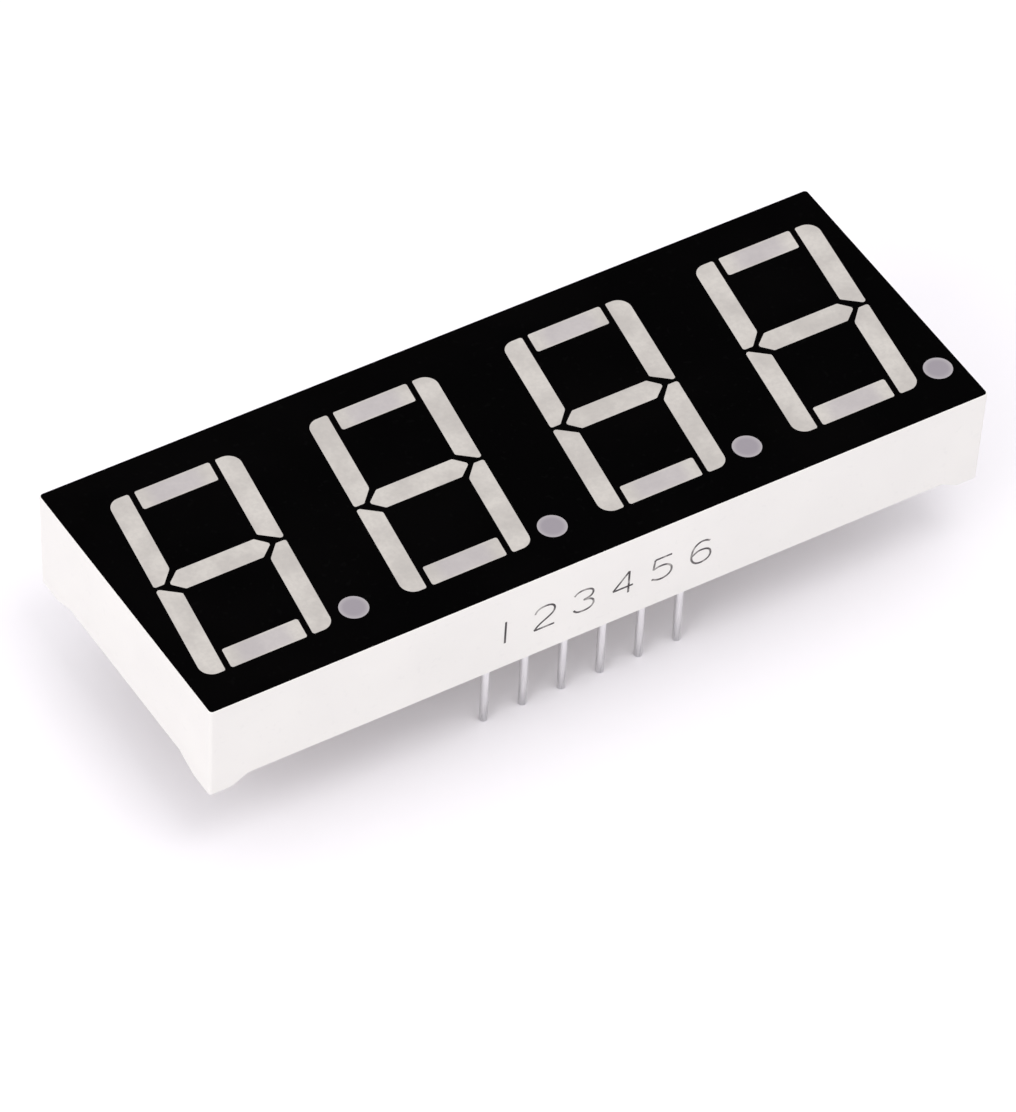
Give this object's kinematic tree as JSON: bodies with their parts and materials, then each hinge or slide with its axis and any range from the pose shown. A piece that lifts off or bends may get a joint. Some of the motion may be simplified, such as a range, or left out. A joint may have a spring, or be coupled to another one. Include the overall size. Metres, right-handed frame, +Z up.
{
  "type": "seven segment display module",
  "caption": "Row of slanted seven segment digits with decimal points behind a black face, in a white reflector case on two rows of through-hole pins.",
  "frame": {"origin": "On the plane of the pin tips, under the middle of the face.", "axes": "+X along the row of digits to the reader's right, +Y towards the tops of the digits, +Z up out of the face."},
  "size_m": [0.0502, 0.019, 0.012],
  "materials": {
    "white_housing": "satin moulded white plastic, finely spark-eroded grain",
    "black_ink": "dead matt black printed coat",
    "diffusing_resin": "cast milky epoxy, slightly glossy, warm light grey when unlit",
    "board_laminate": "woven glass laminate, unmasked",
    "copper": "etched and plated copper",
    "solder": "bright smooth solder",
    "tinned_pin": "tin-plated wire, soft sheen with faint drawing lines",
    "light_chip": "sawn semiconductor chip, dark red",
    "gold_wire": "bright gold bond wire"
  },
  "bodies": {
    "root": {"reflector_housing": "white_housing", "face_ink": "black_ink", "diffuser_resin": "diffusing_resin", "circuit_board": "board_laminate", "copper_nets": "copper", "pin_solder": "solder", "pin_01": "tinned_pin", "pin_02": "tinned_pin", "pin_03": "tinned_pin", "pin_04": "tinned_pin", "pin_05": "tinned_pin", "pin_06": "tinned_pin", "pin_07": "tinned_pin", "pin_08": "tinned_pin", "pin_09": "tinned_pin", "pin_10": "tinned_pin", "pin_11": "tinned_pin", "pin_12": "tinned_pin", "chip_1a": "light_chip", "chip_1b": "light_chip", "chip_1c": "light_chip", "chip_1d": "light_chip", "chip_1e": "light_chip", "chip_1f": "light_chip", "chip_1g": "light_chip", "chip_1dp": "light_chip", "chip_2a": "light_chip", "chip_2b": "light_chip", "chip_2c": "light_chip", "chip_2d": "light_chip", "chip_2e": "light_chip", "chip_2f": "light_chip", "chip_2g": "light_chip", "chip_2dp": "light_chip", "chip_3a": "light_chip", "chip_3b": "light_chip", "chip_3c": "light_chip", "chip_3d": "light_chip", "chip_3e": "light_chip", "chip_3f": "light_chip", "chip_3g": "light_chip", "chip_3dp": "light_chip", "chip_4a": "light_chip", "chip_4b": "light_chip", "chip_4c": "light_chip", "chip_4d": "light_chip", "chip_4e": "light_chip", "chip_4f": "light_chip", "chip_4g": "light_chip", "chip_4dp": "light_chip", "bond_wires_1": "gold_wire", "bond_wires_2": "gold_wire", "bond_wires_3": "gold_wire", "bond_wires_4": "gold_wire"}
  },
  "joints": []
}
